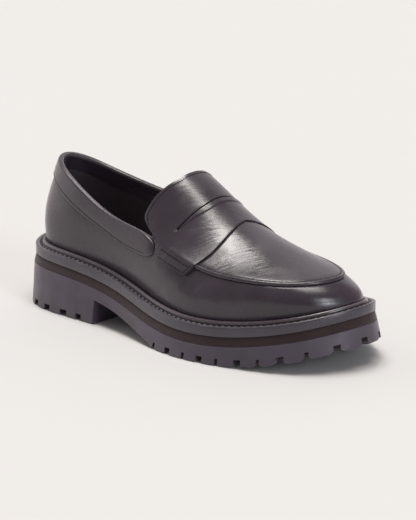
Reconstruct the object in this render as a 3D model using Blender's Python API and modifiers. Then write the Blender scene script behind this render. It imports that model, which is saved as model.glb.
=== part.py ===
"""Chunky lug sole penny loafer for the right foot.

+X points at the toe, +Y at the big toe's side, +Z up. The sole's bottom lies on z = 0.
Tables are in millimetres from the heel's back. Around the shoe, u runs from 0 at the heel's back along the
outer side to 8 at the tip of the toe, and from there along the inner side to 16. Up the shoe, v runs from 0
at the welt to 1 at the topline or the moccasin seam, and from 1 to 2 over the foot to the ridge.
"""
import math
from collections import namedtuple

import bmesh
import bpy
import numpy as np
from mathutils import Vector

NAME = "lug_sole_loafer"
MM = 0.001
GAP = 0.3

# Sole, from the top of the welt down
WELT_HEIGHT = 6.4
BAND_HEIGHT = 5.8
BAND_INSET = 0.3
WELT_LEDGE = 7.7
TOP_FLARE = 1.3
FLARE = 3.4
EDGE_ROUND = 0.6
BREAST_X = 86.4
BREAST_LEAN = 0.6
BREAST_CLEAR = 0.12

# Tread
CUT_HEIGHT = 4.4
CUT_REACH = 11.0
TOE_CUT = 0.1
GROOVE_WIDTH = 4.5
GROOVE_HEIGHT = 2.8

# Upper
WALL = 2.0
RIDGE_Y = 5.0
ARCH = 1.2
CROWN_PULL = 0.36
RIDGE_PULL = 0.40
WALL_RISE = 0.40
OVERLAY = 1.3
SADDLE_THICKNESS = 1.8
SADDLE_REST = 0.5
SLOT_WIDTH = 1.3
INSOLE_HEIGHT = 3.0
INSOLE_GAP = 0.5
INSOLE_ROUND = (1.0, 0.8)

# Each section of the shoe on the outer side, heel to toe. edge: outline of the welt. top: topline or seam.
# belly and roll: how far the wall swells at its foot and below its top. drop: height share of the roll.
Section = namedtuple("Section", "edge_x edge_y top_x top_y top_z belly roll drop")
OUTER = {
    "heel back": Section(5.0, 0.0, 25.0, 0.0, 99.2, 2.2, 14.0, 0.52),
    "heel corner": Section(15.2, -24.0, 32.0, -14.2, 97.6, 2.8, 11.0, 0.50),
    "heel side": Section(42.0, -36.0, 53.0, -23.2, 89.0, 3.0, 6.5, 0.45),
    "waist": Section(92.0, -38.0, 93.0, -29.5, 73.5, 3.0, 3.5, 0.40),
    "arch": Section(132.0, -44.6, 131.0, -33.5, 67.0, 3.0, 4.5, 0.35),
    "ball": Section(176.0, -51.8, 174.0, -37.5, 55.0, 3.0, 5.5, 0.32),
    "toe joint": Section(220.0, -43.8, 212.0, -34.5, 51.5, 3.0, 5.5, 0.30),
    "toe corner": Section(256.0, -26.0, 242.0, -20.5, 51.3, 2.0, 6.5, 0.30),
    "tip": Section(274.0, 6.7, 255.0, 5.0, 51.8, 1.0, 7.0, 0.28),
}
INNER = {
    "heel back": Section(5.0, 0.0, 25.0, 0.0, 99.2, 2.2, 14.0, 0.52),
    "heel corner": Section(15.0, 24.5, 32.0, 13.7, 94.2, 2.8, 11.0, 0.50),
    "heel side": Section(44.0, 35.5, 53.0, 21.0, 86.7, 3.0, 6.0, 0.45),
    "waist": Section(96.0, 33.5, 95.0, 26.0, 77.6, 3.0, 3.0, 0.40),
    "arch": Section(140.0, 39.5, 137.0, 31.0, 69.2, 3.0, 4.0, 0.35),
    "ball": Section(190.0, 50.4, 182.0, 34.5, 56.8, 3.0, 5.5, 0.32),
    "toe joint": Section(232.0, 48.5, 218.0, 31.0, 53.2, 3.0, 5.5, 0.30),
    "toe corner": Section(262.0, 32.5, 244.0, 22.0, 52.2, 2.0, 6.5, 0.30),
    "tip": Section(274.0, 6.7, 255.0, 5.0, 51.8, 1.0, 7.0, 0.28),
}
TIP = len(OUTER) - 1
ROUND = 2 * TIP

# Where each section's two sides meet on the ridge, and the ridge's own height along the shoe
SPINE_X = (52.0, 54.0, 63.0, 94.0, 134.0, 177.0, 211.0, 230.0, 238.0)
RIDGE = {
    "x": (100, 120, 140, 160, 180, 200, 220, 240, 260),
    "z": (113.0, 108.0, 98.8, 86.2, 74.5, 66.8, 60.9, 55.4, 50.2),
}
# Side view of the sole: the deck that the upper stands on, and the tread's edge under the toe spring
DECK = {
    "x": (0, 40, 75, 110, 145, 180, 210, 235, 258, 280),
    "z": (42.0, 40.0, 37.6, 32.2, 25.8, 23.2, 24.6, 28.6, 34.0, 40.8),
}
TREAD = {
    "x": (-20, 60, 120, 160, 200, 225, 245, 262, 280),
    "z": (0.0, 0.0, 0.0, 0.0, 0.0, 2.2, 6.4, 11.0, 16.4),
}
# Underside of the arch in front of the heel
SHANK = {
    "x": (80, 87, 109, 123, 137, 149, 156),
    "z": (16.6, 15.9, 12.0, 8.6, 5.0, 1.8, 0.0),
}
# Across the welt's rim: inset from its edge, and height from the deck
RIM = {
    "inset": (0.3, 0.0, 0.0, 0.3, 1.1, 2.5, 2.9, 4.3, 4.7, 5.0, 5.6, 6.2, 6.8),
    "height": (-6.1, -5.8, -0.9, -0.2, 0.0, -0.1, -0.8, -0.8, 0.8, 1.8, 2.4, 2.0, 0.0),
}
# Cuts in the side of the tread: place around the outer side, and width; the inner side mirrors them
CUTS = {
    "u": (0.9, 1.58, 1.97, 2.33, 2.61, 4.51, 4.8, 5.09, 5.36, 5.63, 5.95, 6.27, 6.61, 7.01, 7.46, 7.96),
    "width": (5.0, 5.2, 5.8, 6.6, 5.2, 2.2, 4.6, 2.2, 4.6, 2.2, 4.8, 2.2, 5.2, 2.6, 4.8, 4.8),
}
# Grooves across the tread, and one along it: x and half length
GROOVES = {"x": (32.0, 62.0, 168.0, 196.0), "half": (16.0, 18.0, 26.0, 27.0)}
# Collar band: the v of its lower edge, and where its rounded front end starts and stops
COLLAR = {
    "u": (0.0, 1.16, 1.79, 2.26, 2.72, 3.12, 3.52, 3.88),
    "v": (0.85, 0.84, 0.785, 0.74, 0.71, 0.665, 0.615, 0.63),
}
COLLAR_TURN = {"outer": 3.88, "inner": 3.72}
COLLAR_END = {"outer": 4.22, "inner": 4.06}
COLLAR_TOP_ROUND = 0.30
COLLAR_TIP = 0.10
# Saddle, from the ridge down each side: its back edge, the slot and its front edge, as x
SADDLE = {
    "v": (2.0, 1.94, 1.75, 1.54, 1.4, 1.25, 1.16, 1.1, 1.045, 1.0, 0.9, 0.77),
    "back": (137.0, 136.8, 135.6, 130.6, 127.2, 125.1, 124.8, 128.0, 135.0, 141.6, 142.6, 145.6),
    "slot": (159.0, 158.8, 158.1, 155.8, 153.8, 151.4, 150.4, 150.2, 151.2, 152.8, 154.5, 157.0),
    "front": (179.0, 179.4, 180.8, 181.4, 181.2, 180.4, 178.9, 178.0, 177.0, 176.2, 174.0, 170.6),
}
SADDLE_SHIFT = 3.0
APRON_GAP = 0.6
SLOT_END_V = 1.24
# Throat of the vamp, hidden under the saddle: it climbs from the topline to the ridge
THROAT = {"u": (4.1, 4.4), "v": (1.0, 2.0)}

# Samples around and up the shoe
SOLE_U = np.concatenate([np.linspace(0, 2, 12), np.linspace(2, 6, 15)[1:], np.linspace(6, 8, 10)[1:]])
UPPER_U = np.concatenate([np.linspace(0, 2, 17), np.linspace(2, 4, 9)[1:], np.linspace(4.1, 4.4, 4),
                          np.linspace(4.6, 6, 8), np.linspace(6, 8, 15)[1:]])
WALL_V = np.linspace(0, 1, 8)
CROWN_ROWS = 8
COLLAR_ROWS = 4
COLLAR_END_ROWS = 6
EPS = 1e-3
# A point inside the shoe, from which the upper and what lies on it face away
HEART = (140.0, 4.0, 50.0)

MATERIALS = {
    "leather": ((0.032, 0.027, 0.031, 1.0), 0.36),
    "rubber": ((0.052, 0.045, 0.050, 1.0), 0.62),
    "band": ((0.026, 0.021, 0.020, 1.0), 0.70),
    "footbed": ((0.012, 0.011, 0.012, 1.0), 0.80),
}


def spline(knots, values, at, period=None):
    """Cubic spline through the values: natural at its ends, or closed over a period."""
    k = np.asarray(knots, float)
    v = np.asarray(values, float)
    at = np.asarray(at, float)
    if period:
        k = np.append(k, k[0] + period)
        v = np.append(v, v[0])
        at = (at - k[0]) % period + k[0]
    n = len(k)
    h = np.diff(k)
    slope = np.diff(v) / h
    a = np.zeros((n, n))
    b = np.zeros(n)
    for i in range(1, n - 1):
        a[i, i - 1:i + 2] = h[i - 1], 2 * (h[i - 1] + h[i]), h[i]
        b[i] = 6 * (slope[i] - slope[i - 1])
    if period:
        a[0, 0], a[0, 1], a[0, n - 2] = 2 * (h[-1] + h[0]), h[0], h[-1]
        b[0] = 6 * (slope[0] - slope[-1])
        a[n - 1, n - 1], a[n - 1, 0] = 1, -1
    else:
        a[0, 0] = a[n - 1, n - 1] = 1
    m = np.linalg.solve(a, b)
    i = np.clip(np.searchsorted(k, at, side="right") - 1, 0, n - 2)
    t = at - k[i]
    w = h[i]
    s = w - t
    bend = (m[i] * s ** 3 + m[i + 1] * t ** 3) / (6 * w)
    return bend + (v[i] / w - m[i] * w / 6) * s + (v[i + 1] / w - m[i + 1] * w / 6) * t


def section(name, u):
    """One column of the section tables, all round the shoe."""
    rows = list(OUTER.values()) + list(INNER.values())[-2:0:-1]
    return spline(range(ROUND), [getattr(row, name) for row in rows], u, period=ROUND)


def height(table, x):
    return spline(table["x"], table["z"], x)


def edge(u, inset=0.0):
    """Plan outline of the welt at u, moved inwards."""
    u = np.asarray(u, float)
    along_x = section("edge_x", u + EPS) - section("edge_x", u - EPS)
    along_y = section("edge_y", u + EPS) - section("edge_y", u - EPS)
    length = np.hypot(along_x, along_y)
    x = section("edge_x", u) - along_y / length * inset
    y = section("edge_y", u) + along_x / length * inset
    return np.stack([x, y], -1)


def spine(u):
    """Where the section at u reaches the ridge."""
    half = np.minimum(u % ROUND, ROUND - u % ROUND)
    x = spline(range(TIP + 1), SPINE_X, half)
    return np.stack([x, np.full_like(x, RIDGE_Y), height(RIDGE, x)], -1)


def bezier(points, t):
    t = t[..., None]
    s = 1 - t
    return s ** 3 * points[0] + 3 * t * s ** 2 * points[1] + 3 * t ** 2 * s * points[2] + t ** 3 * points[3]


def level(plan, z):
    """3-D points from plan points and heights."""
    return np.concatenate([plan, z[..., None]], -1)


def last(u, v):
    """Outer surface of the upper: its wall below v = 1 and its crown above."""
    u, v = np.broadcast_arrays(np.asarray(u, float), np.asarray(v, float))
    foot = edge(u, WELT_LEDGE)
    deck = height(DECK, foot[..., 0]) + GAP
    top = np.stack([section("top_x", u), section("top_y", u), section("top_z", u)], -1)
    ridge = spine(u)
    up = np.array([0.0, 0.0, 1.0])
    rise = (top[..., 2] - deck)[..., None]
    outward = foot - ridge[..., :2]
    outward = level(outward / np.linalg.norm(outward, axis=-1, keepdims=True), np.zeros(u.shape))
    belly, roll, drop = (section(name, u)[..., None] for name in ("belly", "roll", "drop"))
    base = level(foot, deck)
    wall = bezier((base, base + outward * belly + up * rise * WALL_RISE,
                   top + outward * roll - up * rise * drop, top), np.clip(v, 0, 1))
    across = top[..., :2] - ridge[..., :2]
    run = np.linalg.norm(across, axis=-1, keepdims=True)
    across = level(across / run, np.zeros(u.shape))
    climb = ridge[..., 2:] - top[..., 2:]
    chord = np.hypot(climb, run)
    start = np.arctan2(climb, run) * ARCH
    slope = (height(RIDGE, ridge[..., 0] + EPS) - height(RIDGE, ridge[..., 0] - EPS)) / (2 * EPS)
    leave = top + (up * np.sin(start) - across * np.cos(start)) * chord * CROWN_PULL
    arrive = ridge + (across + up * slope[..., None] * across[..., :1]) * chord * RIDGE_PULL
    crown = bezier((top, leave, arrive, ridge), np.clip(v - 1, 0, 1))
    return np.where(v[..., None] <= 1, wall, crown)


def u_at_x(x, v, inner=False):
    """The u, on one side of the shoe, where the surface at v reaches x."""
    u = np.linspace(0.5, TIP, 400)
    if inner:
        u = ROUND - u
    return np.interp(x, last(u, v)[..., 0], u)


def sole_stations():
    """Matching u on the outer and inner side, at equal x, with the heel breast's two stations."""
    dense = np.linspace(0, TIP, 2000)
    breast = np.interp((BREAST_X - BREAST_LEAN, BREAST_X + BREAST_LEAN), edge(dense)[:, 0], dense)
    outer = np.sort(np.append(SOLE_U[np.abs(SOLE_U - breast.mean()) > BREAST_CLEAR], breast))
    x = edge(outer)[:, 0]
    inner_x = edge(ROUND - dense)[:, 0]
    rising = np.maximum.accumulate(inner_x) + dense * EPS
    inner = ROUND - np.interp(x[1:-1], rising, dense)
    return outer, inner


OUTER_U, INNER_U = sole_stations()
LOOP_U = np.concatenate([OUTER_U, INNER_U[::-1]])


def sole_centre():
    widest = edge(LOOP_U, -FLARE)
    return (widest.min(0) + widest.max(0)) / 2


CENTRE = np.append(sole_centre(), 0.0)


def new_object(name, points, faces, material, collection):
    """Mesh object in metres about the origin, with its faces pointing out."""
    bm = bmesh.new()
    verts = [bm.verts.new(p) for p in (np.asarray(points) - CENTRE) * MM]
    for face in faces:
        bm.faces.new([verts[i] for i in dict.fromkeys(face)])
    bmesh.ops.remove_doubles(bm, verts=bm.verts, dist=1e-6)
    bmesh.ops.recalc_face_normals(bm, faces=bm.faces)
    mesh = bpy.data.meshes.new(name)
    bm.to_mesh(mesh)
    bm.free()
    mesh.materials.append(material)
    mesh.shade_smooth()
    mesh.set_sharp_from_angle(angle=math.radians(35))
    obj = bpy.data.objects.new(name, mesh)
    collection.objects.link(obj)
    return obj


def loft(name, rings, material, collection):
    """Closed plate: rings one above another, with a cap of strips across the shoe at each end."""
    count = len(LOOP_U)
    faces = []
    for k in range(len(rings) - 1):
        for i in range(count):
            j = (i + 1) % count
            faces.append((k * count + i, k * count + j, (k + 1) * count + j, (k + 1) * count + i))
    for start in (0, (len(rings) - 1) * count):
        for i in range(len(OUTER_U) - 1):
            faces.append((start + i, start + i + 1, start + (count - i - 1) % count, start + (count - i) % count))
    return new_object(name, np.concatenate(rings), faces, material, collection)


def deck_ring(inset, drop):
    """Ring at an inset from the welt's edge, a height above the deck."""
    plan = edge(LOOP_U, inset)
    return level(plan, height(DECK, plan[:, 0]) + drop)


def tread_ring(inset, lift):
    """Ring along the tread's edge, or along the arch's underside in front of the heel."""
    x = edge(LOOP_U)[:, 0]
    top = height(DECK, x) - WELT_HEIGHT - BAND_HEIGHT
    tread = np.maximum(height(TREAD, x), 0)
    arch = np.where((x > BREAST_X) & (x < SHANK["x"][-1]), np.maximum(height(SHANK, x), 0), 0)
    bottom = np.maximum(tread, arch)
    share = (top - bottom) / (top - tread)
    flare = TOP_FLARE + (FLARE - TOP_FLARE) * share - inset
    plan = edge(LOOP_U, -flare)
    return level(plan, bottom + lift)


def side_cutter(u, width, collection):
    """Box that cuts one notch into the side of the tread."""
    point = edge(u, -FLARE)
    ahead = edge(u + EPS) - edge(u - EPS)
    angle = math.atan2(ahead[1], ahead[0])
    tread = max(float(height(TREAD, point[0])), 0.0)
    slope = float(height(TREAD, point[0] + 1) - height(TREAD, point[0] - 1)) / 2
    bm = bmesh.new()
    bmesh.ops.create_cube(bm, size=1.0)
    bmesh.ops.scale(bm, vec=(width, 2 * CUT_REACH, 2 * CUT_HEIGHT), verts=bm.verts)
    mesh = bpy.data.meshes.new("side_cutter")
    for vert in bm.verts:
        x, y, z = vert.co
        east = x * math.cos(angle) - y * math.sin(angle)
        north = x * math.sin(angle) + y * math.cos(angle)
        vert.co = (point[0] + east, point[1] + north, tread + z + slope * east)
        vert.co = [(a - c) * MM for a, c in zip(vert.co, CENTRE)]
    bm.to_mesh(mesh)
    bm.free()
    obj = bpy.data.objects.new("side_cutter", mesh)
    collection.objects.link(obj)
    return obj


def groove_cutter(x, y, size, collection):
    """Box that cuts a straight groove into the bottom."""
    bm = bmesh.new()
    bmesh.ops.create_cube(bm, size=1.0)
    bmesh.ops.scale(bm, vec=[s * MM for s in size], verts=bm.verts)
    mesh = bpy.data.meshes.new("groove_cutter")
    bm.to_mesh(mesh)
    bm.free()
    obj = bpy.data.objects.new("groove_cutter", mesh)
    obj.location = [(a - c) * MM for a, c in zip((x, y, 0.0), CENTRE)]
    collection.objects.link(obj)
    return obj


def grid_faces(rows):
    """Quads between neighbouring rows of vertex numbers."""
    faces = []
    for a, b in zip(rows, rows[1:]):
        for i in range(len(a) - 1):
            faces.append((a[i], a[i + 1], b[i + 1], b[i]))
    return faces


def shell(name, points, faces, rest, thickness, material, collection):
    """Open surface, lifted along its own normals and thickened outwards, or inwards if negative."""
    obj = new_object(name, points, faces, material, collection)
    bm = bmesh.new()
    bm.from_mesh(obj.data)
    bm.normal_update()
    heart = [(a - c) * MM for a, c in zip(HEART, CENTRE)]
    outward = sum((f.calc_center_median() - Vector(heart)).dot(f.normal) * f.calc_area() for f in bm.faces)
    if outward < 0:
        bmesh.ops.reverse_faces(bm, faces=bm.faces)
        bm.normal_update()
    lifted = [v.co + v.normal * rest * MM for v in bm.verts]
    for vert, co in zip(bm.verts, lifted):
        vert.co = co
    bm.to_mesh(obj.data)
    bm.free()
    solid = obj.modifiers.new("thickness", "SOLIDIFY")
    solid.thickness = abs(thickness) * MM
    solid.offset = 1.0 if thickness > 0 else -1.0
    solid.use_even_offset = True
    return obj


def both_sides(u):
    """The same stations on the outer and on the inner side."""
    return (u, ROUND - u)


def upper_surface():
    """Wall all round, and the crown in front of the throat, joined along the ridge."""
    loop = np.concatenate([UPPER_U, ROUND - UPPER_U[-2:0:-1]])
    wall = last(loop[None, :], WALL_V[:, None])
    points = list(wall.reshape(-1, 3))
    count = len(loop)
    rows = [[k * count + i for i in range(count)] + [k * count] for k in range(len(WALL_V))]
    faces = grid_faces(rows)
    front = UPPER_U[UPPER_U >= THROAT["u"][0] - EPS]
    for side in both_sides(front):
        reach = np.interp(front, THROAT["u"], THROAT["v"])
        columns = []
        for u, v_end in zip(side, reach):
            first = len(points)
            points.extend(last(u, np.linspace(1 + 1e-9, max(v_end, 1 + 1e-9), CROWN_ROWS + 1)))
            columns.append(list(range(first, first + CROWN_ROWS + 1)))
        faces += grid_faces(columns)
    return points, faces


def apron_surface():
    """Crown in front of the saddle, joined along the ridge."""
    v = np.linspace(1 + 1e-9, 2, CROWN_ROWS + 1)
    points = []
    faces = []
    front = UPPER_U[UPPER_U > 5.2]
    share = (front - front[0]) / (TIP - front[0])
    for inner in (False, True):
        shift = SADDLE_SHIFT * np.minimum(1.0, (2 - v) * 2) if inner else 0.0
        x = np.interp(v, SADDLE["v"][::-1], SADDLE["front"][::-1]) + shift + APRON_GAP
        start = np.array([float(u_at_x(a, b, inner)) for a, b in zip(x, v)])
        columns = []
        for part_way in share:
            first = len(points)
            points.extend(last(start + (TIP - start) * part_way, v))
            columns.append(list(range(first, first + len(v))))
        faces += grid_faces(columns)
    return points, faces


def collar_surface():
    """Band on the outer face of the wall, below the topline, with rounded front ends."""
    half = {}
    for side, turn in COLLAR_TURN.items():
        arc = np.sin(np.linspace(0, math.pi / 2, COLLAR_END_ROWS))
        half[side] = np.concatenate([UPPER_U[UPPER_U < turn - EPS], turn + (COLLAR_END[side] - turn) * arc])
    stations = [(ROUND - u, "inner") for u in half["inner"][:0:-1]] + [(u, "outer") for u in half["outer"]]
    points = []
    columns = []
    for u, side in stations:
        away = min(u, ROUND - u)
        low = float(spline(COLLAR["u"], COLLAR["v"], min(away, COLLAR["u"][-1])))
        corner = np.clip((away - COLLAR_TURN[side]) / (COLLAR_END[side] - COLLAR_TURN[side]), 0, 1)
        narrow = (1 - math.sqrt(1 - corner ** 2)) * (1 - low)
        high = 1 - narrow * COLLAR_TOP_ROUND
        low += narrow * (1 - COLLAR_TOP_ROUND - COLLAR_TIP)
        first = len(points)
        points.extend(last(u, np.linspace(low, high, COLLAR_ROWS + 1)))
        columns.append(list(range(first, first + COLLAR_ROWS + 1)))
    return points, grid_faces(columns)


def saddle_surface():
    """Strap and tongue over the instep, with the slot left open."""
    over = np.linspace(2, SADDLE["v"][-1], 19)
    v = np.concatenate([over[::-1], over[1:]])
    points = []
    rows = []
    for k, height_v in enumerate(v):
        inner = k >= len(over)
        table = {name: np.interp(height_v, SADDLE["v"][::-1], SADDLE[name][::-1]) for name in ("back", "slot", "front")}
        shift = SADDLE_SHIFT * min(1.0, (2 - height_v) * 2) if inner else 0.0
        x = np.concatenate([np.linspace(table["back"], table["slot"] - SLOT_WIDTH / 2, 6),
                            np.linspace(table["slot"] + SLOT_WIDTH / 2, table["front"], 5)]) + shift
        u = [float(u_at_x(a, height_v, inner)) for a in x]
        first = len(points)
        points.extend(last(np.array(u), height_v))
        rows.append(list(range(first, first + len(x))))
    faces = []
    slot = 5
    for k in range(len(rows) - 1):
        a, b = rows[k], rows[k + 1]
        for i in range(len(a) - 1):
            if i == slot and v[k] > SLOT_END_V and v[k + 1] > SLOT_END_V:
                continue
            faces.append((a[i], a[i + 1], b[i + 1], b[i]))
    return points, faces


def make_materials():
    made = {}
    for name, (colour, roughness) in MATERIALS.items():
        material = bpy.data.materials.new(name)
        material.use_nodes = True
        shader = material.node_tree.nodes["Principled BSDF"]
        shader.inputs["Base Color"].default_value = colour
        shader.inputs["Roughness"].default_value = roughness
        shader.inputs["Metallic"].default_value = 0.0
        made[name] = material
    return made


def cut(obj, cutters):
    """Boolean difference with each cutter, which stays hidden."""
    for cutter in cutters:
        cutter.hide_render = True
        cutter.display_type = "WIRE"
        modifier = obj.modifiers.new("cut", "BOOLEAN")
        modifier.operation = "DIFFERENCE"
        modifier.solver = "EXACT"
        modifier.object = cutter


def make_outsole(material, parts, cutters):
    rings = [
        deck_ring(-TOP_FLARE + EDGE_ROUND, -WELT_HEIGHT - BAND_HEIGHT - GAP / 2),
        deck_ring(-TOP_FLARE, -WELT_HEIGHT - BAND_HEIGHT - GAP / 2 - EDGE_ROUND),
        tread_ring(0.0, EDGE_ROUND),
        tread_ring(EDGE_ROUND, 0.0),
    ]
    outsole = loft("outsole", rings, material, parts)
    boxes = []
    for u, width in zip(CUTS["u"], CUTS["width"]):
        for side in both_sides(u) if TIP - u > TOE_CUT else (u,):
            boxes.append(side_cutter(side, width, cutters))
    for x, half in zip(GROOVES["x"], GROOVES["half"]):
        middle = float(edge(np.array([u_at_x(x, 0.0), u_at_x(x, 0.0, True)]))[:, 1].mean())
        boxes.append(groove_cutter(x, middle, (GROOVE_WIDTH, 2 * half, 2 * GROOVE_HEIGHT), cutters))
    cut(outsole, boxes)
    return outsole


def main():
    for obj in list(bpy.data.objects):
        bpy.data.objects.remove(obj)
    parts = bpy.data.collections.new(NAME)
    cutters = bpy.data.collections.new("cutters")
    bpy.context.scene.collection.children.link(parts)
    bpy.context.scene.collection.children.link(cutters)
    material = make_materials()

    make_outsole(material["rubber"], parts, cutters)
    loft("midsole", [deck_ring(BAND_INSET, -WELT_HEIGHT - BAND_HEIGHT + GAP / 2),
                     deck_ring(BAND_INSET, -WELT_HEIGHT - GAP / 2)], material["band"], parts)
    loft("welt", [deck_ring(a, b) for a, b in zip(RIM["inset"], RIM["height"])], material["rubber"], parts)
    inside = WELT_LEDGE + WALL + INSOLE_GAP
    loft("insole", [deck_ring(inside, GAP), deck_ring(inside, GAP + INSOLE_HEIGHT - INSOLE_ROUND[1]),
                    deck_ring(inside + INSOLE_ROUND[0], GAP + INSOLE_HEIGHT)], material["footbed"], parts)
    shell("upper", *upper_surface(), 0.0, -WALL, material["leather"], parts)
    shell("apron", *apron_surface(), GAP, OVERLAY, material["leather"], parts)
    shell("collar", *collar_surface(), GAP, OVERLAY, material["leather"], parts)
    shell("saddle", *saddle_surface(), SADDLE_REST, SADDLE_THICKNESS, material["leather"], parts)


main()
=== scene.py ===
"""Chunky lug sole penny loafer for the right foot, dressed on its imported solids, with floor, light, camera.

Tables are in millimetres from the heel's back, +X to the toe, +Y to the big toe's side, +Z up. Round the
shoe, u runs from 0 at the heel's back along the outer side to 8 at the tip, and along the inner side to 16.
Up the shoe, v runs from 0 at the welt to 1 at the topline or moccasin seam, and to 2 at the foot's ridge.
"""
import math
from collections import namedtuple

import bmesh
import bpy
import numpy as np
from mathutils import Matrix, Vector


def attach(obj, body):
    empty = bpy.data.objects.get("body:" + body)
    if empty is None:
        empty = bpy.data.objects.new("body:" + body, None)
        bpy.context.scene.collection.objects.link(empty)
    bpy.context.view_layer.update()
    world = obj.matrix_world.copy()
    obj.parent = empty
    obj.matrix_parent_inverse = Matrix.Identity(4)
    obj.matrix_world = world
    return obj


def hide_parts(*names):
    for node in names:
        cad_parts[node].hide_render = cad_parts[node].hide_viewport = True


bl_info = {
    "name": "Lug Sole Loafer",
    "version": (1, 0, 0),
    "blender": (4, 5, 0),
    "location": "View3D > Sidebar > Loafer",
    "description": "Builds the leather, sole, stitching and studio of a penny loafer on its solid parts",
    "category": "Object",
}

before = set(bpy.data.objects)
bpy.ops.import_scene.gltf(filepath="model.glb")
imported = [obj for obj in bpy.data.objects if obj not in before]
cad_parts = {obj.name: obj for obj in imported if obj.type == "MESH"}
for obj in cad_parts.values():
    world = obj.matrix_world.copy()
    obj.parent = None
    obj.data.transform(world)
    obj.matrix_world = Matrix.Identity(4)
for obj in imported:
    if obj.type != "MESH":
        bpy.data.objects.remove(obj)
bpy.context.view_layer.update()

MM = 0.001
EPS = 1e-3
STEP = 0.01
# Points closer than this, in metres, are one
TINY = 1e-6
# First v of the crown, just over the seam
CROWN_V = 1 + 1e-9
# Where the search for a u starts, and how fine it is
FIRST_U = 0.5
DENSE = 400
WELT_HEIGHT = 6.4
BAND_HEIGHT = 5.8
# Side of the band from its lower edge up: inset from the welt's outline
BAND_SIDE = (-0.85, -0.75, -0.45, -0.1, 0.2, 0.3)
WELT_LEDGE = 7.7
WALL = 2.0
TOP_FLARE = 1.3
FLARE = 3.4
BREAST_X = 86.4
BREAST_LEAN = 0.6
BREAST_CLEAR = 0.03
GAP = 0.3
VISIBLE_GAP = 0.08
RIDGE_BLEND = 1.85
RIDGE_Y = 5.0
ARCH = 1.2
CROWN_PULL = 0.36
RIDGE_PULL = 0.40
WALL_RISE = 0.40
HEART = (140.0, 4.0, 50.0)
# Middle of the sole's outline, where the frame has its origin
CENTRE = (139.493, 0.004, 0.0)

Section = namedtuple("Section", "edge_x edge_y top_x top_y top_z belly roll drop")
OUTER = {
    "heel back": Section(5.0, 0.0, 25.0, 0.0, 99.2, 2.2, 14.0, 0.52),
    "heel corner": Section(15.2, -24.0, 32.0, -14.2, 97.6, 2.8, 11.0, 0.50),
    "heel side": Section(42.0, -36.0, 53.0, -23.2, 89.0, 3.0, 6.5, 0.45),
    "waist": Section(92.0, -38.0, 93.0, -29.5, 73.5, 3.0, 3.5, 0.40),
    "arch": Section(132.0, -44.6, 131.0, -33.5, 67.0, 3.0, 4.5, 0.35),
    "ball": Section(176.0, -51.8, 174.0, -37.5, 55.0, 3.0, 5.5, 0.32),
    "toe joint": Section(220.0, -43.8, 212.0, -34.5, 51.5, 3.0, 5.5, 0.30),
    "toe corner": Section(256.0, -26.0, 242.0, -20.5, 51.3, 2.0, 6.5, 0.30),
    "tip": Section(274.0, 6.7, 255.0, 5.0, 51.8, 1.0, 7.0, 0.28),
}
INNER = {
    "heel back": OUTER["heel back"],
    "heel corner": Section(15.0, 24.5, 32.0, 13.7, 94.2, 2.8, 11.0, 0.50),
    "heel side": Section(44.0, 35.5, 53.0, 21.0, 86.7, 3.0, 6.0, 0.45),
    "waist": Section(96.0, 33.5, 95.0, 26.0, 77.6, 3.0, 3.0, 0.40),
    "arch": Section(140.0, 39.5, 137.0, 31.0, 69.2, 3.0, 4.0, 0.35),
    "ball": Section(190.0, 50.4, 182.0, 34.5, 56.8, 3.0, 5.5, 0.32),
    "toe joint": Section(232.0, 48.5, 218.0, 31.0, 53.2, 3.0, 5.5, 0.30),
    "toe corner": Section(262.0, 32.5, 244.0, 22.0, 52.2, 2.0, 6.5, 0.30),
    "tip": OUTER["tip"],
}
TIP = len(OUTER) - 1
ROUND = 2 * TIP
SPINE_X = (52.0, 54.0, 63.0, 94.0, 134.0, 177.0, 211.0, 230.0, 238.0)
RIDGE = {
    "x": (100, 120, 140, 160, 180, 200, 220, 240, 260),
    "z": (113.0, 108.0, 98.8, 86.2, 74.5, 66.8, 60.9, 55.4, 50.2),
}
DECK = {
    "x": (0, 40, 75, 110, 145, 180, 210, 235, 258, 280),
    "z": (42.0, 40.0, 37.6, 32.2, 25.8, 23.2, 24.6, 28.6, 34.0, 40.8),
}
TREAD = {
    "x": (-20, 60, 120, 160, 200, 225, 245, 262, 280),
    "z": (0.0, 0.0, 0.0, 0.0, 0.0, 2.2, 6.4, 11.0, 16.4),
}
SHANK = {
    "x": (80, 87, 109, 123, 137, 149, 156),
    "z": (16.6, 15.9, 12.0, 8.6, 5.0, 1.8, 0.0),
}
# Across the welt, from its lower edge over lip, stitch channel and bead: inset, height from the deck
RIM = {
    "inset": (0.45, 0.15, 0.0, 0.0, 0.0, 0.12, 0.5, 1.1, 2.0, 2.5, 2.75, 2.9, 3.2, 3.7, 4.2, 4.45, 4.6, 4.7,
              4.95, 5.5, 6.1, 6.5, 6.65, 6.8, 7.1),
    "height": (-6.3, -6.2, -5.9, -3.0, -1.0, -0.5, -0.15, 0.0, 0.0, -0.1, -0.35, -0.6, -0.75, -0.8, -0.75,
               -0.6, -0.2, 0.8, 1.7, 2.35, 2.45, 2.1, 1.4, 0.5, -0.5),
}
# Side of the insole from the bottom up
INSOLE = {
    "inset": (10.2, 10.2, 10.5, 11.2),
    "height": (0.3, 2.4, 3.0, 3.3),
}
# Rounding of the outsole's side: inset and lift at the tread, inset and drop at the top
TREAD_EDGE = ((0.9, 0.0), (0.3, 0.25), (0.0, 0.9))
OUTSOLE_TOP = ((0.0, 1.1), (0.15, 0.4), (0.7, 0.0))
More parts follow.
